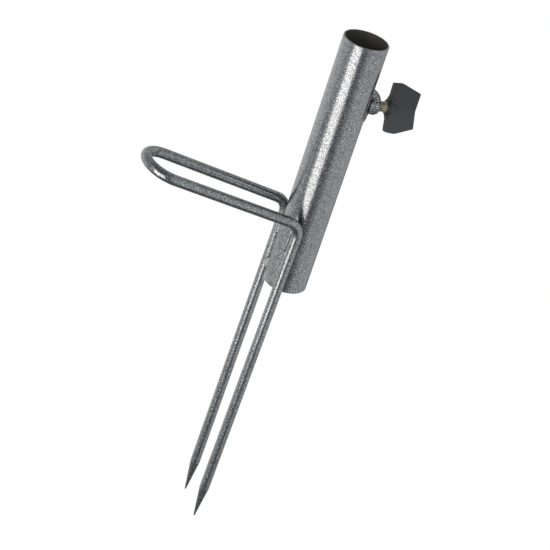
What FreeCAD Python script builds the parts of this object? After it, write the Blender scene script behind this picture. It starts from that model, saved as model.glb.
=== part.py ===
import FreeCAD, Part
import math
import os

# Ground spike for a round pole: an open steel tube that takes the pole, one
# bent bar that is welded to both sides of the tube and ends in two points,
# and a wing screw in a welded nut that clamps the pole.
# Millimetres. The origin is the centre of the tube's lower end, +Z runs up
# the tube, the foot step reaches out towards -X and the screw towards +X.

V = FreeCAD.Vector
AXIS_X = V(1, 0, 0)
AXIS_Y = V(0, 1, 0)
AXIS_Z = V(0, 0, 1)

# Socket tube
tube_diameter = 42.4
tube_wall = 1.5
tube_length = 260.0
rim_chamfer = 0.3

# Bent bar: two prongs and a foot step in one piece
bar_diameter = 10.0
bend_radius = 15.0
corner_height = 76.5
fork_half_spacing = 22.3
prong_length = 360.0
prong_lean = 1.4
prong_closing = 0.28
point_length = 38.0
point_end_diameter = 1.5
step_length = 159.5
step_rise = 14.5
step_splay = 0.55

# Welds between bar and tube: a bead at the top and one at the bottom
weld_root_gap = 0.05
bead_radius = 2.6
bead_offset = 4.2
upper_bead_length = 18.0
upper_bead_drop = 4.0
lower_bead_length = 14.0
lower_bead_rise = 3.0

# Clamp nut and its two welds
screw_below_mouth = 62.0
screw_diameter = 10.0
nut_across_flats = 16.0
nut_turn = -8.0
nut_height = 10.0
nut_seat_gap = 0.02
nut_chamfer_angle = 30.0
nut_countersink = 0.6
screw_running_clearance = 0.05
tube_hole_clearance = 0.6
nut_weld_back = 0.5
upper_gob_size = (10.4, 6.6, 4.4)
upper_gob_stand = 2.8
upper_gob_offset = 9.9
upper_gob_slope = 38.0
lower_gob_size = (3.4, 5.4, 10.0)
lower_gob_offset = -9.5

# Stud
stud_showing = 8.5
stud_tip_clearance = 0.5
stud_tip_chamfer = 1.0
stud_in_knob = 6.0

# Wing knob, moulded in one piece
knob_length = 31.1
knob_waist = 29.0
knob_span = 46.9
knob_bulge_place = 13.3
knob_bulge_radius = 7.3
knob_inner_span = 45.6
knob_outer_span = 33.5
knob_corner_radius = 1.2
wing_sweep = 3.0
waist_radius = 9.0
wing_root_thickness = 8.2
wing_tip_thickness = 6.8
wing_edge_radius = 0.8
hub_diameter = 14.4
hub_nose_radius = 1.2
hub_stand = 2.4
hub_straight = 2.6
hub_length = 11.0
hub_end_radius = 3.2
hub_wall = 1.2
hub_flare_width = 6.5
hub_flare_bury = 0.2
knob_bottom_gap = 0.3
knob_turn = -14.4

# Worked out from the sizes above
tube_radius = tube_diameter / 2
bore_radius = tube_radius - tube_wall
bar_radius = bar_diameter / 2
screw_radius = screw_diameter / 2
seat_distance = tube_radius + bar_radius + weld_root_gap
nut_seat_x = tube_radius + nut_seat_gap
nut_face_x = nut_seat_x + nut_height
screw_height = tube_length - screw_below_mouth
knob_face_x = nut_face_x + stud_showing


def unit(vector):
    return vector / vector.Length


def prong_direction(side):
    """Down the prong; side is -1 or +1 along Y."""
    lean = math.radians(prong_lean)
    closing = math.radians(prong_closing)
    return unit(V(-math.sin(lean), -side * math.sin(closing), -math.cos(lean)))


def step_direction():
    """Outwards along the middle of the foot step."""
    rise = math.radians(step_rise)
    return V(-math.cos(rise), 0, math.sin(rise))


def leg_direction(side):
    """Outwards along one leg of the foot step."""
    splay = math.radians(step_splay)
    return step_direction() * math.cos(splay) + AXIS_Y * (side * math.sin(splay))


def bend_tangent():
    """Length of straight bar that the bend takes from its corner, each way."""
    turn = math.pi - prong_direction(1).getAngle(leg_direction(1))
    return bend_radius * math.tan(turn / 2)


def corner(side):
    """Where prong and leg would meet without the bend.

    The straight prong touches the tube at its top end, so the corner's X
    follows from the tube, the bar and the spacing of the prongs.
    """
    down = prong_direction(side) * bend_tangent()
    seat_y = fork_half_spacing - abs(down.y)
    seat_x = -math.sqrt(seat_distance ** 2 - seat_y ** 2)
    return V(seat_x - down.x, side * fork_half_spacing, corner_height)


def bend_points(side):
    """Start, middle and end of the bend, from the prong to the leg."""
    tangent = bend_tangent()
    at = corner(side)
    down = prong_direction(side)
    out = leg_direction(side)
    half_angle = down.getAngle(out) / 2
    centre = at + unit(down + out) * (bend_radius / math.sin(half_angle))
    middle = centre - unit(down + out) * bend_radius
    return at + down * tangent, middle, at + out * tangent


def step_arc_points():
    """Start, apex and end of the round outer end of the foot step."""
    splay = math.radians(step_splay)
    radius = fork_half_spacing * math.cos(splay) + step_length * math.sin(splay)
    radius = radius / (1 + math.sin(splay))
    origin = V(corner(1).x, 0, corner_height)
    along = step_direction()
    centre = origin + along * (step_length - radius)
    back = along * (-radius * math.sin(splay))
    aside = AXIS_Y * (radius * math.cos(splay))
    return centre + back - aside, centre + along * radius, centre + back + aside


def shoulder(side):
    """Where the straight bar ends and the point begins."""
    return corner(side) + prong_direction(side) * (prong_length - point_length)


def bar_path():
    near_bend = bend_points(-1)
    far_bend = bend_points(1)
    step = step_arc_points()
    edges = [
        Part.LineSegment(shoulder(-1), near_bend[0]).toShape(),
        Part.Arc(*near_bend).toShape(),
        Part.LineSegment(near_bend[2], step[0]).toShape(),
        Part.Arc(*step).toShape(),
        Part.LineSegment(step[2], far_bend[2]).toShape(),
        Part.Arc(*reversed(far_bend)).toShape(),
        Part.LineSegment(far_bend[0], shoulder(1)).toShape(),
    ]
    return Part.Wire(edges)


def make_point(side):
    start = shoulder(side)
    end_radius = point_end_diameter / 2
    direction = prong_direction(side)
    return Part.makeCone(bar_radius, end_radius, point_length, start, direction)


def make_spike_fork():
    path = bar_path()
    section = Part.Wire(Part.makeCircle(bar_radius, shoulder(-1), prong_direction(-1)))
    bar = path.makePipeShell([section], True, False)
    return bar.fuse([make_point(-1), make_point(1)]).removeSplitter()


def make_screw_way(length):
    """Clearance cylinder for the screw, from the tube's axis outwards."""
    way_radius = screw_radius + tube_hole_clearance
    return Part.makeCylinder(way_radius, length, V(0, 0, screw_height), AXIS_X)


def make_socket_tube():
    outside = Part.makeCylinder(tube_radius, tube_length)
    rims = [e for e in outside.Edges if e.Curve.TypeId == "Part::GeomCircle"]
    outside = outside.makeChamfer(rim_chamfer, rims)
    bore = Part.makeCylinder(bore_radius, tube_length)
    return outside.cut(bore).cut(make_screw_way(tube_diameter))


def make_bead(side, top, length):
    """Weld bead in the groove between bar and tube, between the prongs."""
    down = prong_direction(side)
    reach = (corner_height - top) / abs(down.z)
    bar_centre = corner(side) + down * reach
    outward = unit(V(bar_centre.x, bar_centre.y, 0))
    aside = V(-abs(outward.y), -side * abs(outward.x), 0)
    start = outward * (tube_radius + bead_radius / 2) + aside * bead_offset
    start.z = top - bead_radius
    run = length - 2 * bead_radius
    end = start + down * run
    bead = Part.makeCylinder(bead_radius, run, start, down)
    bead = bead.fuse([Part.makeSphere(bead_radius, start), Part.makeSphere(bead_radius, end)])
    return bead.removeSplitter()


def make_fork_beads(side, tube_blank, fork):
    bend_start_z = bend_points(side)[0].z
    upper_top = bend_start_z - upper_bead_drop
    lower_top = lower_bead_rise + lower_bead_length
    upper = make_bead(side, upper_top, upper_bead_length)
    lower = make_bead(side, lower_top, lower_bead_length)
    return [bead.cut(tube_blank).cut(fork) for bead in (upper, lower)]


def make_nut_blank():
    """Hexagon with a corner nearly up, chamfered at both ends, still without its bore."""
    corner_radius = nut_across_flats / math.sqrt(3)
    corners = []
    for number in range(7):
        angle = math.radians(60 * number + nut_turn)
        y = -corner_radius * math.sin(angle)
        z = corner_radius * math.cos(angle)
        corners.append(V(nut_seat_x, y, z))
    hexagon = Part.Face(Part.makePolygon(corners)).extrude(AXIS_X * nut_height)
    flat_radius = nut_across_flats / 2
    drop = (corner_radius - flat_radius) * math.tan(math.radians(nut_chamfer_angle))
    profile = [
        V(nut_seat_x, 0, 0),
        V(nut_seat_x, 0, flat_radius),
        V(nut_seat_x + drop, 0, corner_radius),
        V(nut_face_x - drop, 0, corner_radius),
        V(nut_face_x, 0, flat_radius),
        V(nut_face_x, 0, 0),
        V(nut_seat_x, 0, 0),
    ]
    turned = Part.Face(Part.makePolygon(profile)).revolve(V(0, 0, 0), AXIS_X, 360)
    blank = hexagon.common(turned)
    blank.translate(V(0, 0, screw_height))
    return blank


def make_clamp_nut():
    bore_size = screw_radius + screw_running_clearance
    bore = Part.makeCylinder(bore_size, nut_height, V(nut_seat_x, 0, screw_height), AXIS_X)
    sink_start = V(nut_face_x - nut_countersink, 0, screw_height)
    sink_radius = bore_size + nut_countersink
    sink = Part.makeCone(bore_size, sink_radius, nut_countersink, sink_start, AXIS_X)
    return make_nut_blank().cut(bore).cut(sink)


def make_gob(size, stand, offset, slope):
    """Ellipsoid of weld metal beside the nut, its long way sloping down outwards."""
    matrix = FreeCAD.Matrix()
    matrix.scale(V(*size))
    matrix.rotateY(math.radians(slope))
    matrix.move(V(tube_radius + stand, 0, screw_height + offset))
    return Part.makeSphere(1).transformGeometry(matrix)


def make_nut_weld(gob, tube_blank):
    """Gob cut to the tube, the nut and the way of the screw, short of the nut's face."""
    reach = nut_face_x - nut_weld_back
    room = Part.makeCylinder(tube_radius, reach, V(0, 0, screw_height), AXIS_X)
    way = make_screw_way(nut_face_x)
    return gob.common(room).cut(tube_blank).cut(make_nut_blank()).cut(way)


def make_clamp_stud():
    tip_x = bore_radius + stud_tip_clearance
    end_x = knob_face_x + stud_in_knob
    tip_radius = screw_radius - stud_tip_chamfer
    profile = [
        V(tip_x, 0, 0),
        V(tip_x, 0, tip_radius),
        V(tip_x + stud_tip_chamfer, 0, screw_radius),
        V(end_x, 0, screw_radius),
        V(end_x, 0, 0),
        V(tip_x, 0, 0),
    ]
    stud = Part.Face(Part.makePolygon(profile)).revolve(V(0, 0, 0), AXIS_X, 360)
    stud.translate(V(0, 0, screw_height))
    return stud


def wing_outline():
    """Flat outline of the knob, its axis along X and its wings along Z."""
    sweep = math.tan(math.radians(wing_sweep))
    inner_z = knob_inner_span / 2
    edges = []
    for side in (1, -1):
        root = V(hub_stand, 0, 0)
        inner_tip = V(hub_stand + inner_z * sweep, 0, side * inner_z)
        bulge = V(knob_bulge_place, 0, side * knob_span / 2)
        outer_tip = V(knob_length, 0, side * knob_outer_span / 2)
        waist = V(knob_waist, 0, 0)
        edges.append(Part.LineSegment(root, inner_tip).toShape())
        edges.append(Part.LineSegment(inner_tip, bulge).toShape())
        edges.append(Part.LineSegment(bulge, outer_tip).toShape())
        edges.append(Part.LineSegment(outer_tip, waist).toShape())
    return Part.Wire(Part.__sortEdges__(edges))


def through_edges(prism, radius):
    """Edges through the wings' thickness that are to be rounded to this radius."""
    found = []
    for edge in prism.Edges:
        centre = edge.CenterOfMass
        wanted_radius = knob_corner_radius
        if abs(centre.z) < 0.01:
            wanted_radius = waist_radius
        elif abs(centre.x - knob_bulge_place) < 0.01:
            wanted_radius = knob_bulge_radius
        if edge.BoundBox.YLength > wing_root_thickness and radius == wanted_radius:
            found.append(edge)
    return found


def crowned_slab(root_thickness):
    """Space between two shallow cylinders, thinner towards the wing tips."""
    reach = knob_span / 2
    drop = (wing_root_thickness - wing_tip_thickness) / 2
    crown_radius = (reach ** 2 + drop ** 2) / (2 * drop)
    halves = []
    for side in (1, -1):
        centre = V(-knob_length, side * (root_thickness / 2 - crown_radius), 0)
        halves.append(Part.makeCylinder(crown_radius, 3 * knob_length, centre, AXIS_X))
    return halves[0].common(halves[1])


def make_wing_plate():
    outline = Part.Face(wing_outline())
    outline.translate(V(0, -wing_root_thickness, 0))
    prism = outline.extrude(AXIS_Y * (2 * wing_root_thickness))
    for radius in (knob_corner_radius, knob_bulge_radius, waist_radius):
        prism = prism.makeFillet(radius, through_edges(prism, radius))
    plate = prism.common(crowned_slab(wing_root_thickness))
    rims = [e for e in plate.Edges if e.BoundBox.YLength < wing_root_thickness / 4]
    return plate.makeFillet(wing_edge_radius, rims)


def make_hub():
    """Round hub that fades into the wings and keeps its wall round the screw's end."""
    hub_radius = hub_diameter / 2
    face_radius = hub_radius - hub_nose_radius
    nose_middle = hub_nose_radius * math.sqrt(0.5)
    wall_radius = screw_radius + screw_running_clearance + hub_wall
    bore_end = stud_in_knob + knob_bottom_gap
    nose = Part.Arc(
        V(0, 0, face_radius),
        V(hub_nose_radius - nose_middle, 0, face_radius + nose_middle),
        V(hub_nose_radius, 0, hub_radius))
    fade = Part.Arc(
        V(hub_straight, 0, hub_radius),
        V(bore_end, 0, wall_radius),
        V(hub_length, 0, hub_end_radius))
    edges = [
        Part.LineSegment(V(0, 0, 0), V(0, 0, face_radius)),
        nose,
        Part.LineSegment(V(hub_nose_radius, 0, hub_radius), V(hub_straight, 0, hub_radius)),
        fade,
        Part.LineSegment(V(hub_length, 0, hub_end_radius), V(hub_length, 0, 0)),
        Part.LineSegment(V(hub_length, 0, 0), V(0, 0, 0)),
    ]
    profile = Part.Wire([edge.toShape() for edge in edges])
    return Part.Face(profile).revolve(V(0, 0, 0), AXIS_X, 360)


def make_flare():
    """Web with hollow corners between the hub and the wings' inner edges."""
    face_radius = hub_diameter / 2 - hub_nose_radius
    reach = face_radius + hub_flare_width
    front = hub_stand / 4
    landing = hub_stand + reach * math.tan(math.radians(wing_sweep)) + hub_flare_bury
    middle_x = front + (landing - front) * 0.42
    middle_z = face_radius + hub_flare_width * 0.38
    back = landing + hub_stand
    edges = [
        Part.LineSegment(V(front, 0, -face_radius), V(front, 0, face_radius)),
        Part.Arc(V(front, 0, face_radius), V(middle_x, 0, middle_z), V(landing, 0, reach)),
        Part.LineSegment(V(landing, 0, reach), V(back, 0, reach)),
        Part.LineSegment(V(back, 0, reach), V(back, 0, -reach)),
        Part.LineSegment(V(back, 0, -reach), V(landing, 0, -reach)),
        Part.Arc(V(landing, 0, -reach), V(middle_x, 0, -middle_z), V(front, 0, -face_radius)),
    ]
    web = Part.Face(Part.Wire([edge.toShape() for edge in edges]))
    half = wing_root_thickness / 2 - wing_edge_radius - hub_flare_bury
    web.translate(V(0, -half, 0))
    return web.extrude(AXIS_Y * (2 * half))


def make_wing_knob():
    knob = make_wing_plate().fuse([make_hub(), make_flare()]).removeSplitter()
    bore_size = screw_radius + screw_running_clearance
    bore_depth = stud_in_knob + knob_bottom_gap
    knob = knob.cut(Part.makeCylinder(bore_size, bore_depth, V(0, 0, 0), AXIS_X))
    knob.rotate(V(0, 0, 0), AXIS_X, knob_turn)
    knob.translate(V(knob_face_x, 0, screw_height))
    return knob


def main():
    os.makedirs("parts", exist_ok=True)
    tube_blank = Part.makeCylinder(tube_radius, tube_length)
    fork = make_spike_fork()
    near_upper, near_lower = make_fork_beads(-1, tube_blank, fork)
    far_upper, far_lower = make_fork_beads(1, tube_blank, fork)
    upper_gob = make_gob(upper_gob_size, upper_gob_stand, upper_gob_offset, upper_gob_slope)
    lower_gob = make_gob(lower_gob_size, 0, lower_gob_offset, 0)
    pieces = {
        "socket_tube": make_socket_tube(),
        "spike_fork": fork,
        "clamp_nut": make_clamp_nut(),
        "nut_weld_upper": make_nut_weld(upper_gob, tube_blank),
        "nut_weld_lower": make_nut_weld(lower_gob, tube_blank),
        "fork_weld_near_upper": near_upper,
        "fork_weld_near_lower": near_lower,
        "fork_weld_far_upper": far_upper,
        "fork_weld_far_lower": far_lower,
        "clamp_stud": make_clamp_stud(),
        "wing_knob": make_wing_knob(),
    }
    for name, shape in pieces.items():
        shape.exportStep("parts/" + name + ".step")


main()
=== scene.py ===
import math

import bpy
from mathutils import Matrix, Vector


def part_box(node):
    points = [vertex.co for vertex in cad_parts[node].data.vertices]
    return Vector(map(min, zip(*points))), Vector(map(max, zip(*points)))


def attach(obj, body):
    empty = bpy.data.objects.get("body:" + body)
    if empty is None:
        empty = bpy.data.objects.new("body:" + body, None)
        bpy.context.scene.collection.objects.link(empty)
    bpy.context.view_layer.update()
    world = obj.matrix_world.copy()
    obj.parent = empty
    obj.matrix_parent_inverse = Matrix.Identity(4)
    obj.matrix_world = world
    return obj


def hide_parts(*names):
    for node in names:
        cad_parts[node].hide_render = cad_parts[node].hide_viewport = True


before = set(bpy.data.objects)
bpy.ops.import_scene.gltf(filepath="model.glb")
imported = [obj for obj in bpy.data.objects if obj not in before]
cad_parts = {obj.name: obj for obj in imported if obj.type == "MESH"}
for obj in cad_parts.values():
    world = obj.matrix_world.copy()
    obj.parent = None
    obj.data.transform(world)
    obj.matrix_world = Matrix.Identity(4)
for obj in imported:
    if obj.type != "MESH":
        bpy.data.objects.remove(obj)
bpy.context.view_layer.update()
MM = 0.001

# Camera, in degrees and metres
CAMERA_PLACE = (-0.58481, -1.20336, 0.77367)
CAMERA_SWING = 25.455
CAMERA_RISE = 29.937
CAMERA_ROLL = 18.519
CAMERA_LENS = 104.886
SENSOR_WIDTH = 36.0

# Studio, in metres: the softbox draws the long highlight down the tube
SOFTBOX_PLACE = (-1.000, -0.830, -0.07)
SOFTBOX_AIM = (0, 0, -0.07)
SOFTBOX_SIZE = (0.94, 1.48)
SOFTBOX_STRENGTH = 3.4
FLOOR_HEIGHT = -1.3
FLOOR_HALF_WIDTH = 0.9
FILL_LIGHT = 0.45

# Directions in the studio that gloss sees
HEIGHT = (0, 0, 1)
SIDEWAYS = (0.903, -0.430, 0.0)
BACKWARDS = (0.430, 0.903, 0.0)
LEFT_AND_BACK = (-0.424, 0.822, -0.380)
BACK_AND_UP = (0.344, 0.722, 0.600)

# Clamp screw, M10: the crest is a radius, the flat a share of the pitch at each crest
# and root
STUD_START_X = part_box("clamp_stud")[0].x
STUD_END_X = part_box("clamp_stud")[1].x
SCREW_HEIGHT = (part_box("clamp_stud")[0].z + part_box("clamp_stud")[1].z) / 2
THREAD_PITCH = 1.5 * MM
THREAD_CREST = 4.98 * MM
THREAD_DEPTH = 0.92 * MM
THREAD_END_CHAMFER = 1.0 * MM
THREAD_FLAT = 0.06
THREAD_STEPS_ROUND = 48
THREAD_STEPS_ALONG = 192

# Wing knob
KNOB_END_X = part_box("wing_knob")[0].x
# where the painted shade on the knob's end next to the screw starts and fades out
KNOB_SHADE_START = 2.5 * MM
KNOB_SHADE_END = 5 * MM
# how far above and below the screw the painted light that draws the lower wing lighter reaches
KNOB_LIGHT_REACH = 10 * MM

# Socket tube
TUBE_BORE = 19.7 * MM
HALF_WALL = TUBE_BORE + 0.75 * MM

# Paint on plain steel and over the welds: vein spacing, relief of the film and gloss
# roughness. Over the welds the relief is drawn deeper than a real film's, because the
# glitter of so small a lump is too fine to show.
VEIN = (0.8 * MM, 0.05 * MM, 0.25)
POOLED_VEIN = (1.7 * MM, 2.4 * MM, 0.3)
# size of the patches in which the pocket is drawn paler, a painted reflection of the pale
# surround
PALE_PATCH_SIZE = 1.5 * MM

# Edges of the pocket between the prongs and the tube, in millimetres: the axis, where
# the edge starts and ends, and the pocket's share at each
POCKET_FRONT = ("X", -13, -16, 0.0, 1.0)
POCKET_EDGES = [("Y", -14.5, -10.5, 0.0, 1.0), ("Y", 19.5, 20.5, 1.0, 0.0),
                ("Z", 5, 7, 0.0, 1.0), ("Z", 60, 90, 1.0, 0.0)]

# Weld metal: how finely it is drawn, and the room that it leaves round the screw
WELD_GRAIN = 0.35 * MM
SCREW_ROOM = 5.6 * MM
SCREW_ROOM_EDGE = 1.5 * MM

# Surface of each kind of weld, in millimetres
BLOB = {"Lump Size": 2.6, "Lump Height": 1.5, "Ripple Spacing": 2.0, "Ripple Height": 0.3}
BEAD = {"Lump Size": 3.0, "Lump Height": 0.4, "Ripple Spacing": 1.6, "Ripple Height": 0.4}
CRUST = {"Lump Size": 2.2, "Lump Height": 1.8, "Ripple Spacing": 2.4, "Ripple Height": 0.2}
IN_PLACE = (0, 0, 0)
UPPER_STRETCH = 1.38
NEAR_UPPER_SWELL = 0.8
NEAR_UPPER_SLIDE = (0.1, 2.4, 0)

# Sockets of a Mix node that mixes colours
COLOUR_A, COLOUR_B, MIXED = 6, 7, 2


def linear(value):
    """One sRGB channel, 0 to 1, as linear light."""
    return value / 12.92 if value <= 0.04045 else ((value + 0.055) / 1.055) ** 2.4


def paint(hex_colour):
    """An sRGB hex colour as linear RGBA."""
    text = hex_colour.lstrip("#")
    channels = [int(text[i:i + 2], 16) / 255 for i in (0, 2, 4)]
    return tuple(linear(c) for c in channels) + (1.0,)


def set_stops(elements, stops):
    """Fills a colour ramp with (place, hex colour) stops."""
    while len(elements) < len(stops):
        elements.new(0.5)
    for element, (place, colour) in zip(elements, stops):
        element.position = place
        element.color = paint(colour)


def soft_step(start, end, low, high):
    """Settings of a smooth step: low at start, high at end."""
    return {"interpolation_type": "SMOOTHSTEP", "From Min": start, "From Max": end,
            "To Min": low, "To Max": high}


def add(tree, kind, settings=None, links=None):
    """Adds a node. Settings whose key is a socket name or number set that input, "stops"
    fills a colour ramp, other keys are set on the node; links feed its inputs."""
    node = tree.nodes.new(kind)
    for key, value in (settings or {}).items():
        if key == "stops":
            set_stops(node.color_ramp.elements, value)
        elif isinstance(key, int) or key in node.inputs:
            node.inputs[key].default_value = value
        else:
            setattr(node, key, value)
    for key, source in (links or {}).items():
        tree.links.new(source, node.inputs[key])
    return node


def new_material(name):
    material = bpy.data.materials.new(name)
    material.use_nodes = True
    material.node_tree.nodes.clear()
    return material, material.node_tree


def finish_material(tree, shader):
    add(tree, "ShaderNodeOutputMaterial", links={"Surface": shader.outputs[0]})


def silver_vein_paint(name, vein_spacing, film_relief, gloss_roughness):
    """Stoved silver-vein paint on steel: aluminium flake drawn into pale islands
    between dark veins, under a hard glossy film, so it glitters but also mirrors
    the lamps. Inside the tube the spray hardly reaches and the steel stays dark."""
    wander_size = 2.4 * vein_spacing
    vein_wander = vein_spacing / 3
    vein_width = 0.28
    dimmest_island = 0.42
    rim_outer, rim_inner = TUBE_BORE + 0.35 * MM, TUBE_BORE + 0.25 * MM
    flake_metal = 0.9
    dull_roughness = 0.45
    most_painted_reflection = 0.5
    material, tree = new_material(name)
    place = add(tree, "ShaderNodeTexCoord").outputs["Object"]
    # veins wander off their straight cell edges
    wander = add(tree, "ShaderNodeTexNoise", {"Scale": 1 / wander_size, "Detail": 2.0},
                 {"Vector": place})
    centred = add(tree, "ShaderNodeVectorMath", {"operation": "SUBTRACT", 1: (0.5, 0.5, 0.5)},
                  {0: wander.outputs["Color"]})
    shift = add(tree, "ShaderNodeVectorMath", {"operation": "SCALE", "Scale": 2 * vein_wander},
                {0: centred.outputs[0]})
    bent = add(tree, "ShaderNodeVectorMath", {"operation": "ADD"},
               {0: place, 1: shift.outputs[0]})
    veins = add(tree, "ShaderNodeTexVoronoi",
                {"feature": "DISTANCE_TO_EDGE", "Scale": 1 / vein_spacing},
                {"Vector": bent.outputs[0]})
    islands = add(tree, "ShaderNodeTexVoronoi",
                  {"feature": "F1", "Scale": 1 / vein_spacing}, {"Vector": bent.outputs[0]})
    shade = add(tree, "ShaderNodeSeparateColor", links={0: islands.outputs["Color"]})
    grain = add(tree, "ShaderNodeMapRange", {"From Max": vein_width},
                {"Value": veins.outputs["Distance"]})
    spread = add(tree, "ShaderNodeMapRange", {"To Min": dimmest_island},
                 {"Value": shade.outputs[0]})
    flake = add(tree, "ShaderNodeMath", {"operation": "MULTIPLY"},
                {0: grain.outputs[0], 1: spread.outputs[0]})
    outside = add(tree, "ShaderNodeValToRGB",
                  {"stops": [(0.0, "#1e252d"), (0.4, "#797f87"), (1.0, "#eeeeec")]},
                  {0: flake.outputs[0]})
    # across the rim the outside's paint gives way to the bare steel of the bore
    flat = add(tree, "ShaderNodeVectorMath", {"operation": "MULTIPLY", 1: (1.0, 1.0, 0.0)},
               {0: place})
    reach = add(tree, "ShaderNodeVectorMath", {"operation": "LENGTH"}, {0: flat.outputs[0]})
    in_bore = add(tree, "ShaderNodeMapRange", {"From Min": rim_outer, "From Max": rim_inner},
                  {"Value": reach.outputs["Value"]})
    # the spray lands dry in the pocket between the prongs and the tube
    at = add(tree, "ShaderNodeSeparateXYZ", links={0: place})
    axis, start, end, low, high = POCKET_FRONT
    pocket = add(tree, "ShaderNodeMapRange", soft_step(start * MM, end * MM, low, high),
                 {"Value": at.outputs[axis]})
    for axis, start, end, low, high in POCKET_EDGES:
        edge = add(tree, "ShaderNodeMapRange", soft_step(start * MM, end * MM, low, high),
                   {"Value": at.outputs[axis]})
        pocket = add(tree, "ShaderNodeMath", {"operation": "MULTIPLY"},
                     {0: pocket.outputs[0], 1: edge.outputs[0]})
    dull = add(tree, "ShaderNodeMath", {"operation": "MAXIMUM"},
               {0: in_bore.outputs[0], 1: pocket.outputs[0]})
    # painted reflection: in the pocket the paint is drawn paler and greenish, in patches,
    # standing in for the pale surround it mirrors
    pale_patch_noise = add(tree, "ShaderNodeTexNoise", {"Scale": 1 / PALE_PATCH_SIZE, "Detail": 2.0},
               {"Vector": place})
    patches = add(tree, "ShaderNodeMapRange",
                  {"From Min": 0.42, "From Max": 0.58, "To Max": most_painted_reflection},
                  {"Value": pale_patch_noise.outputs["Fac"]})
    thin = add(tree, "ShaderNodeMath", {"operation": "MULTIPLY"},
               {0: pocket.outputs[0], 1: patches.outputs[0]})
    with_painted_reflection = add(tree, "ShaderNodeMix", {"data_type": "RGBA", COLOUR_B: paint("#c3c8c4")},
                 {0: thin.outputs[0], COLOUR_A: outside.outputs[0]})
    colour = add(tree, "ShaderNodeMix", {"data_type": "RGBA", COLOUR_B: paint("#545350")},
                 {0: in_bore.outputs[0], COLOUR_A: with_painted_reflection.outputs[MIXED]})
    metal = add(tree, "ShaderNodeMapRange", soft_step(0.0, 1.0, flake_metal, 0.0),
                {"Value": in_bore.outputs[0]})
    rough = add(tree, "ShaderNodeMapRange",
                soft_step(0.0, 1.0, gloss_roughness, dull_roughness), {"Value": dull.outputs[0]})
    coat = add(tree, "ShaderNodeMapRange", soft_step(0.0, 1.0, 1.0, 0.0),
               {"Value": dull.outputs[0]})
    relief = add(tree, "ShaderNodeBump", {"Strength": 0.5, "Distance": film_relief},
                 {"Height": flake.outputs[0]})
    shader = add(tree, "ShaderNodeBsdfPrincipled", {"Coat Roughness": 0.08, "Coat IOR": 1.65},
                 {"Base Color": colour.outputs[MIXED], "Metallic": metal.outputs[0],
                  "Roughness": rough.outputs[0], "Coat Weight": coat.outputs[0],
                  "Normal": relief.outputs[0]})
    finish_material(tree, shader)
    return material


def yellow_zinc_plate():
    """Zinc plate passivated yellow: a metal with a thin olive to brass tinge in soft
    clouds, duller where handling has dimmed it."""
    cloud_size = 3.0 * MM
    material, tree = new_material("yellow_zinc_plate")
    place = add(tree, "ShaderNodeTexCoord").outputs["Object"]
    clouds = add(tree, "ShaderNodeTexNoise", {"Scale": 1 / cloud_size, "Detail": 3.0},
                 {"Vector": place})
    colour = add(tree, "ShaderNodeValToRGB",
                 {"stops": [(0.3, "#a9a592"), (0.55, "#c6c1ac"), (0.75, "#c2c0b4")]},
                 {0: clouds.outputs["Fac"]})
    rough = add(tree, "ShaderNodeMapRange", {"To Min": 0.45, "To Max": 0.7},
                {"Value": clouds.outputs["Fac"]})
    shader = add(tree, "ShaderNodeBsdfPrincipled", {"Metallic": 1.0},
                 {"Base Color": colour.outputs[0], "Roughness": rough.outputs[0]})
    finish_material(tree, shader)
    return material


def black_moulded_nylon():
    """Glass-filled nylon from a spark-eroded mould: near black with a cool cast, a fine
    even grain and a wide soft sheen. The lower wing is drawn lighter and the upper one
    darker, as painted light, and the end next to the screw is painted shade, near black."""
    # a real spark-eroded grain is too fine to show, so it is drawn coarser than it is
    grain_size = 0.8 * MM
    grain_relief = 0.08 * MM
    fleck_depth = 0.35
    material, tree = new_material("black_moulded_nylon")
    place = add(tree, "ShaderNodeTexCoord").outputs["Object"]
    at = add(tree, "ShaderNodeSeparateXYZ", links={0: place})
    grain = add(tree, "ShaderNodeTexNoise", {"Scale": 1 / grain_size, "Detail": 2.0},
                {"Vector": place})
    fleck = add(tree, "ShaderNodeMapRange",
                {"From Min": 0.3, "From Max": 0.7, "To Min": -fleck_depth, "To Max": fleck_depth},
                {"Value": grain.outputs["Fac"]})
    # painted light: the lower wing is drawn lighter and the upper one darker
    painted_light_low = add(tree, "ShaderNodeMapRange",
                   soft_step(SCREW_HEIGHT + KNOB_LIGHT_REACH, SCREW_HEIGHT - KNOB_LIGHT_REACH,
                             0.0, 1.0), {"Value": at.outputs["Z"]})
    tone = add(tree, "ShaderNodeMath", {"operation": "ADD"},
               {0: painted_light_low.outputs[0], 1: fleck.outputs[0]})
    grain_and_painted_light = add(tree, "ShaderNodeValToRGB", {"stops": [(0.0, "#2b2f34"), (1.0, "#373c40")]},
                {0: tone.outputs[0]})
    # painted shade: the end next to the screw is drawn near black, where the wing's end face lies
    # in shade
    painted_shade_end = add(tree, "ShaderNodeMapRange",
                   soft_step(KNOB_END_X + KNOB_SHADE_START, KNOB_END_X + KNOB_SHADE_END,
                             0.65, 0.0), {"Value": at.outputs["X"]})
    colour = add(tree, "ShaderNodeMix", {"data_type": "RGBA", COLOUR_B: paint("#111214")},
                 {0: painted_shade_end.outputs[0], COLOUR_A: grain_and_painted_light.outputs[0]})
    rough = add(tree, "ShaderNodeMapRange", {"To Min": 0.45, "To Max": 0.65},
                {"Value": grain.outputs["Fac"]})
    relief = add(tree, "ShaderNodeBump", {"Strength": 0.7, "Distance": grain_relief},
                 {"Height": grain.outputs["Fac"]})
    shader = add(tree, "ShaderNodeBsdfPrincipled", {"IOR": 1.53},
                 {"Base Color": colour.outputs[MIXED], "Roughness": rough.outputs[0],
                  "Normal": relief.outputs[0]})
    finish_material(tree, shader)
    return material


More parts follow.
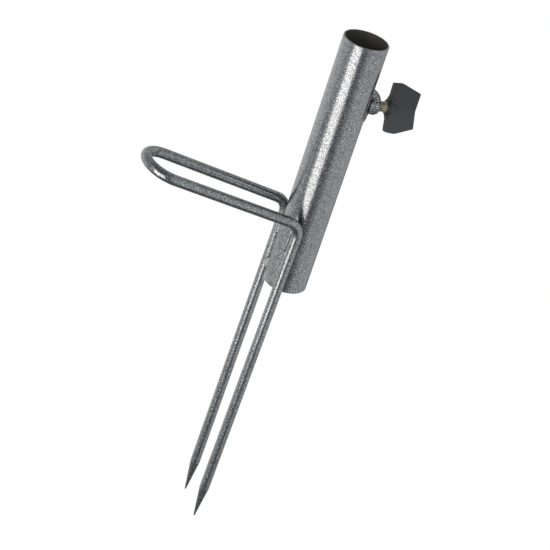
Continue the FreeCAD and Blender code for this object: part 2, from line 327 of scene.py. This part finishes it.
def set_camera():
    swing, rise, roll = (math.radians(a) for a in (CAMERA_SWING, CAMERA_RISE, CAMERA_ROLL))
    right = Vector((math.cos(swing), -math.sin(swing), 0))
    back = Vector((-math.sin(swing) * math.cos(rise), -math.cos(swing) * math.cos(rise),
                   math.sin(rise)))
    up = back.cross(right)
    across = right * math.cos(roll) + up * math.sin(roll)
    upwards = up * math.cos(roll) - right * math.sin(roll)
    data = bpy.data.cameras.new("camera")
    data.lens = CAMERA_LENS
    data.sensor_width = SENSOR_WIDTH
    camera = bpy.data.objects.new("camera", data)
    bpy.context.scene.collection.objects.link(camera)
    turn = Matrix((across, upwards, back)).transposed().to_4x4()
    camera.matrix_world = Matrix.Translation(CAMERA_PLACE) @ turn
    bpy.context.scene.camera = camera


def set_world():
    """A white surround. The camera sees it pure white; gloss sees it with the dim
    front and back of a studio between its two pale sides; the rest is soft fill."""
    right_wall = soft_step(0.20, 0.72, 0.22, 0.92)
    left_wall = soft_step(-0.20, -0.72, 0.0, 0.37)
    dim_back = soft_step(0.0, 0.8, 1.0, 0.62)
    dim_floor = soft_step(-0.80, -0.45, 0.25, 1.0)
    dim_ceiling = soft_step(0.2, 0.75, 1.0, 0.8)
    low_card = soft_step(0.45, 0.95, 0.0, 0.42)
    high_card = soft_step(0.60, 0.95, 0.0, 0.35)
    world = bpy.data.worlds.new("studio")
    bpy.context.scene.world = world
    world.use_nodes = True
    tree = world.node_tree
    tree.nodes.clear()
    toward = add(tree, "ShaderNodeTexCoord").outputs["Generated"]
    shares = {}
    for axis in (HEIGHT, SIDEWAYS, BACKWARDS, LEFT_AND_BACK, BACK_AND_UP):
        share = add(tree, "ShaderNodeVectorMath", {"operation": "DOT_PRODUCT", 1: axis},
                    {0: toward})
        shares[axis] = share.outputs["Value"]
    right = add(tree, "ShaderNodeMapRange", right_wall, {"Value": shares[SIDEWAYS]})
    left = add(tree, "ShaderNodeMapRange", left_wall, {"Value": shares[SIDEWAYS]})
    sides = add(tree, "ShaderNodeMath", {"operation": "ADD"},
                {0: right.outputs[0], 1: left.outputs[0]})
    for axis, settings in ((BACKWARDS, dim_back), (HEIGHT, dim_floor), (HEIGHT, dim_ceiling)):
        fade = add(tree, "ShaderNodeMapRange", settings, {"Value": shares[axis]})
        sides = add(tree, "ShaderNodeMath", {"operation": "MULTIPLY"},
                    {0: sides.outputs[0], 1: fade.outputs[0]})
    for axis, settings in ((LEFT_AND_BACK, low_card), (BACK_AND_UP, high_card)):
        card = add(tree, "ShaderNodeMapRange", settings, {"Value": shares[axis]})
        sides = add(tree, "ShaderNodeMath", {"operation": "ADD"},
                    {0: sides.outputs[0], 1: card.outputs[0]})
    rays = add(tree, "ShaderNodeLightPath")
    mirrored = add(tree, "ShaderNodeMath", {"operation": "MAXIMUM"},
                   {0: rays.outputs["Is Glossy Ray"], 1: rays.outputs["Is Transmission Ray"]})
    fill = add(tree, "ShaderNodeBackground", {"Color": (1, 1, 1, 1), "Strength": FILL_LIGHT})
    # the dim front of the studio is bluish, its pale sides have a trace of green
    tint = add(tree, "ShaderNodeValToRGB",
               {"stops": [(0.0, "#dfeaff"), (0.2, "#eaf3ff"), (0.5, "#fefffd")]},
               {0: sides.outputs[0]})
    studio = add(tree, "ShaderNodeBackground",
                 links={"Color": tint.outputs[0], "Strength": sides.outputs[0]})
    white = add(tree, "ShaderNodeBackground", {"Color": (1, 1, 1, 1), "Strength": 1.0})
    lit = add(tree, "ShaderNodeMixShader",
              links={0: mirrored.outputs[0], 1: fill.outputs[0], 2: studio.outputs[0]})
    both = add(tree, "ShaderNodeMixShader",
               links={0: rays.outputs["Is Camera Ray"], 1: lit.outputs[0], 2: white.outputs[0]})
    add(tree, "ShaderNodeOutputWorld", links={0: both.outputs[0]})


def set_softbox():
    """A rectangular lamp; its strength is its own brightness, where white is 1."""
    width, height = SOFTBOX_SIZE
    data = bpy.data.lights.new("softbox", "AREA")
    data.shape = "RECTANGLE"
    data.size, data.size_y = width, height
    data.energy = SOFTBOX_STRENGTH * math.pi * width * height
    data.color = paint("#fff9f2")[:3]
    lamp = bpy.data.objects.new("softbox", data)
    lamp.location = SOFTBOX_PLACE
    aim = Vector(SOFTBOX_AIM) - Vector(SOFTBOX_PLACE)
    lamp.rotation_euler = aim.to_track_quat("-Z", "Y").to_euler()
    lamp.visible_camera = False
    bpy.context.scene.collection.objects.link(lamp)


def set_floor():
    """A wide pale floor well below the hanging spike."""
    material, tree = new_material("studio_floor")
    rays = add(tree, "ShaderNodeLightPath")
    seen = add(tree, "ShaderNodeMath", {"operation": "MAXIMUM"},
               {0: rays.outputs["Is Camera Ray"], 1: rays.outputs["Is Transmission Ray"]})
    matt = add(tree, "ShaderNodeBsdfDiffuse", {"Color": paint("#8a8a8a")})
    glow = add(tree, "ShaderNodeEmission", {"Color": (1, 1, 1, 1), "Strength": 0.95})
    lit = add(tree, "ShaderNodeAddShader", links={0: matt.outputs[0], 1: glow.outputs[0]})
    both = add(tree, "ShaderNodeMixShader",
               links={0: seen.outputs[0], 1: matt.outputs[0], 2: lit.outputs[0]})
    finish_material(tree, both)
    mesh = bpy.data.meshes.new("floor")
    reach = FLOOR_HALF_WIDTH
    corners = [(x, y, FLOOR_HEIGHT)
               for x, y in ((-reach, -reach), (reach, -reach), (reach, reach), (-reach, reach))]
    mesh.from_pydata(corners, [], [(0, 1, 2, 3)])
    mesh.materials.append(material)
    floor = bpy.data.objects.new("floor", mesh)
    bpy.context.scene.collection.objects.link(floor)


def named_inputs(tree, names):
    """Gives a tree its size inputs, and returns each one's identifier by name."""
    return {name: tree.interface.new_socket(name, in_out="INPUT",
                                            socket_type="NodeSocketFloat").identifier
            for name in names}


def finish_tree(tree, result, material):
    """Ends a tree with its real mesh in the given material."""
    tree.interface.new_socket("Mesh", in_out="OUTPUT", socket_type="NodeSocketGeometry")
    real = add(tree, "GeometryNodeRealizeInstances", links={0: result})
    done = add(tree, "GeometryNodeSetMaterial", {"Material": material},
               {"Geometry": real.outputs[0]})
    add(tree, "NodeGroupOutput", links={0: done.outputs[0]})


def thread_tree(material):
    """Geometry Nodes: a round bar along +X whose radius follows a screw thread."""
    tree = bpy.data.node_groups.new("screw_thread", "GeometryNodeTree")
    sockets = named_inputs(tree, ("Length", "Crest", "Depth", "Pitch", "Chamfer"))
    sizes = add(tree, "NodeGroupInput").outputs
    bar = add(tree, "GeometryNodeMeshCylinder",
              {"Vertices": THREAD_STEPS_ROUND, "Side Segments": THREAD_STEPS_ALONG,
               "Fill Segments": 1, "Radius": 1.0}, {"Depth": sizes["Length"]})
    position = add(tree, "GeometryNodeInputPosition")
    where = add(tree, "ShaderNodeSeparateXYZ", links={0: position.outputs[0]}).outputs
    # which part of the thread's wave lies here: one pitch along is one turn round
    angle = add(tree, "ShaderNodeMath", {"operation": "ARCTAN2"}, {0: where["Y"], 1: where["X"]})
    turn = add(tree, "ShaderNodeMath", {"operation": "DIVIDE", 1: 2 * math.pi},
               {0: angle.outputs[0]})
    along = add(tree, "ShaderNodeMath", {"operation": "DIVIDE"},
                {0: where["Z"], 1: sizes["Pitch"]})
    phase = add(tree, "ShaderNodeMath", {"operation": "SUBTRACT"},
                {0: along.outputs[0], 1: turn.outputs[0]})
    wave = add(tree, "ShaderNodeMath", {"operation": "PINGPONG", 1: 0.5}, {0: phase.outputs[0]})
    flank = add(tree, "ShaderNodeMapRange",
                {"From Min": THREAD_FLAT, "From Max": 0.5 - THREAD_FLAT},
                {"Value": wave.outputs[0]})
    cut = add(tree, "ShaderNodeMath", {"operation": "MULTIPLY"},
              {0: flank.outputs[0], 1: sizes["Depth"]})
    radius = add(tree, "ShaderNodeMath", {"operation": "SUBTRACT"},
                 {0: sizes["Crest"], 1: cut.outputs[0]})
    # the chamfer at the starting end
    half = add(tree, "ShaderNodeMath", {"operation": "MULTIPLY", 1: 0.5}, {0: sizes["Length"]})
    from_end = add(tree, "ShaderNodeMath", {"operation": "ADD"},
                   {0: where["Z"], 1: half.outputs[0]})
    tip = add(tree, "ShaderNodeMath", {"operation": "SUBTRACT"},
              {0: sizes["Crest"], 1: sizes["Chamfer"]})
    cone = add(tree, "ShaderNodeMath", {"operation": "ADD"},
               {0: tip.outputs[0], 1: from_end.outputs[0]})
    trimmed = add(tree, "ShaderNodeMath", {"operation": "MINIMUM"},
                  {0: radius.outputs[0], 1: cone.outputs[0]})
    x = add(tree, "ShaderNodeMath", {"operation": "MULTIPLY"},
            {0: where["X"], 1: trimmed.outputs[0]})
    y = add(tree, "ShaderNodeMath", {"operation": "MULTIPLY"},
            {0: where["Y"], 1: trimmed.outputs[0]})
    place = add(tree, "ShaderNodeCombineXYZ",
                links={"X": from_end.outputs[0], "Y": x.outputs[0], "Z": y.outputs[0]})
    threaded = add(tree, "GeometryNodeSetPosition",
                   links={"Geometry": bar.outputs["Mesh"], "Position": place.outputs[0]})
    finish_tree(tree, threaded.outputs[0], material)
    return tree, sockets


def made_by(tree, name, values, start=None):
    """Evaluates a Geometry Nodes tree, on a copy of the start mesh where there is one,
    and returns its result as a plain mesh object."""
    mesh = start.copy() if start else bpy.data.meshes.new(name + "_start")
    blank = bpy.data.objects.new(name + "_start", mesh)
    bpy.context.scene.collection.objects.link(blank)
    modifier = blank.modifiers.new("make", "NODES")
    modifier.node_group = tree
    for identifier, value in values.items():
        modifier[identifier] = value
    bpy.context.view_layer.update()
    evaluated = blank.evaluated_get(bpy.context.evaluated_depsgraph_get())
    result = bpy.data.meshes.new_from_object(evaluated)
    result.name = name
    blank.modifiers.remove(modifier)
    bpy.data.objects.remove(blank)
    made = bpy.data.objects.new(name, result)
    bpy.context.scene.collection.objects.link(made)
    return made


def make_threaded_stud(material):
    tree, sockets = thread_tree(material)
    values = {sockets["Length"]: STUD_END_X - STUD_START_X, sockets["Crest"]: THREAD_CREST,
              sockets["Depth"]: THREAD_DEPTH, sockets["Pitch"]: THREAD_PITCH,
              sockets["Chamfer"]: THREAD_END_CHAMFER}
    stud = made_by(tree, "threaded_stud", values)
    stud.data.transform(Matrix.Translation((STUD_START_X, 0, SCREW_HEIGHT)))
    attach(stud, "clamp_stud")
    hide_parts("clamp_stud")


def weld_tree(material):
    """Geometry Nodes: the plain weld solid as laid metal, lumpy and ringed by ripples."""
    tree = bpy.data.node_groups.new("weld_metal", "GeometryNodeTree")
    tree.interface.new_socket("Solid", in_out="INPUT", socket_type="NodeSocketGeometry")
    sockets = named_inputs(tree, ("Grain", "Swell", "Lump Size", "Lump Height",
                                  "Ripple Spacing", "Ripple Height"))
    given = add(tree, "NodeGroupInput").outputs
    cloud = add(tree, "GeometryNodeMeshToVolume", {"resolution_mode": "VOXEL_SIZE"},
                {"Mesh": given["Solid"], "Voxel Size": given["Grain"]})
    skin = add(tree, "GeometryNodeVolumeToMesh", links={"Volume": cloud.outputs[0]})
    where = add(tree, "GeometryNodeInputPosition").outputs[0]
    lump_scale = add(tree, "ShaderNodeMath", {"operation": "DIVIDE", 0: 1.0},
                     {1: given["Lump Size"]})
    lumps = add(tree, "ShaderNodeTexNoise", {"Detail": 2.0},
                {"Vector": where, "Scale": lump_scale.outputs[0]})
    centred = add(tree, "ShaderNodeMath", {"operation": "SUBTRACT", 1: 0.5},
                  {0: lumps.outputs[0]})
    lump = add(tree, "ShaderNodeMath", {"operation": "MULTIPLY"},
               {0: centred.outputs[0], 1: given["Lump Height"]})
    # the lumps also push each ripple out of line
    height = add(tree, "ShaderNodeSeparateXYZ", links={0: where})
    count = add(tree, "ShaderNodeMath", {"operation": "DIVIDE"},
                {0: height.outputs["Z"], 1: given["Ripple Spacing"]})
    jitter = add(tree, "ShaderNodeMath", {"operation": "ADD"},
                 {0: count.outputs[0], 1: lumps.outputs[0]})
    wave = add(tree, "ShaderNodeMath", {"operation": "PINGPONG", 1: 0.5}, {0: jitter.outputs[0]})
    ripple = add(tree, "ShaderNodeMath", {"operation": "MULTIPLY"},
                 {0: wave.outputs[0], 1: given["Ripple Height"]})
    uneven = add(tree, "ShaderNodeMath", {"operation": "ADD"},
                 {0: lump.outputs[0], 1: ripple.outputs[0]})
    rise = add(tree, "ShaderNodeMath", {"operation": "ADD"},
               {0: uneven.outputs[0], 1: given["Swell"]})
    # near the screw the metal stays as it is, so the screw keeps its room
    from_screw = add(tree, "ShaderNodeVectorMath",
                     {"operation": "SUBTRACT", 1: (0, 0, SCREW_HEIGHT)}, {0: where})
    across = add(tree, "ShaderNodeVectorMath", {"operation": "MULTIPLY", 1: (0, 1, 1)},
                 {0: from_screw.outputs[0]})
    away = add(tree, "ShaderNodeVectorMath", {"operation": "LENGTH"}, {0: across.outputs[0]})
    room = add(tree, "ShaderNodeMapRange",
               soft_step(SCREW_ROOM, SCREW_ROOM + SCREW_ROOM_EDGE, 0.0, 1.0),
               {"Value": away.outputs["Value"]})
    kept = add(tree, "ShaderNodeMath", {"operation": "MULTIPLY"},
               {0: rise.outputs[0], 1: room.outputs[0]})
    outwards = add(tree, "ShaderNodeVectorMath", {"operation": "SCALE"},
                   {0: add(tree, "GeometryNodeInputNormal").outputs[0], "Scale": kept.outputs[0]})
    laid = add(tree, "GeometryNodeSetPosition",
               links={"Geometry": skin.outputs[0], "Offset": outwards.outputs[0]})
    smooth = add(tree, "GeometryNodeSetShadeSmooth", links={0: laid.outputs[0]})
    finish_tree(tree, smooth.outputs[0], material)
    return tree, sockets


def keep_out_of_bore(mesh):
    """Moves what lies deeper than half the tube's wall out to that depth."""
    for vertex in mesh.vertices:
        reach = math.hypot(vertex.co.x, vertex.co.y)
        if reach < HALF_WALL:
            vertex.co.x *= HALF_WALL / reach
            vertex.co.y *= HALF_WALL / reach


def lay_welds(vein, pooled):
    """The nut is under a crust of weld metal, its welds are lumpy blobs, and the beads
    along the prongs are drawn in even ripples, the upper ones running out into the bends."""
    # node, paint, surface, swell in millimetres, stretch up the tube, slide in millimetres
    welds = [("clamp_nut", pooled, CRUST, -0.1, 1.0, IN_PLACE),
             ("nut_weld_upper", pooled, BLOB, 0.7, 1.0, IN_PLACE),
             ("nut_weld_lower", pooled, BLOB, 0.0, 1.0, IN_PLACE),
             ("fork_weld_near_lower", vein, BEAD, 0.0, 1.0, IN_PLACE),
             ("fork_weld_far_lower", vein, BEAD, 0.0, 1.0, IN_PLACE),
             ("fork_weld_far_upper", vein, BEAD, 0.0, UPPER_STRETCH, IN_PLACE),
             ("fork_weld_near_upper", vein, BEAD, NEAR_UPPER_SWELL, UPPER_STRETCH,
              NEAR_UPPER_SLIDE)]
    trees = {film.name: weld_tree(film) for film in (vein, pooled)}
    for node, film, surface, swell, stretch, slide in welds:
        tree, sockets = trees[film.name]
        values = {sockets[name]: size * MM for name, size in surface.items()}
        values.update({sockets["Grain"]: WELD_GRAIN, sockets["Swell"]: swell * MM})
        weld = made_by(tree, "laid_" + node, values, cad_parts[node].data)
        foot = Matrix.Translation((0, 0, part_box(node)[0].z))
        grown = foot @ Matrix.Scale(stretch, 4, (0, 0, 1)) @ foot.inverted()
        weld.data.transform(Matrix.Translation(Vector(slide) * MM) @ grown)
        keep_out_of_bore(weld.data)
        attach(weld, "spike")
        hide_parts(node)


def dress(nodes, material):
    for name in nodes:
        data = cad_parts[name].data
        data.materials.clear()
        data.materials.append(material)


def main():
    bpy.context.scene.view_settings.view_transform = "Standard"
    set_camera()
    set_world()
    set_floor()
    set_softbox()
    vein = silver_vein_paint("silver_vein_paint", *VEIN)
    # paint that pools over rough weld metal dries in coarser veins
    pooled = silver_vein_paint("pooled_vein_paint", *POOLED_VEIN)
    dress(["socket_tube", "spike_fork"], vein)
    dress(["wing_knob"], black_moulded_nylon())
    make_threaded_stud(yellow_zinc_plate())
    lay_welds(vein, pooled)


main()
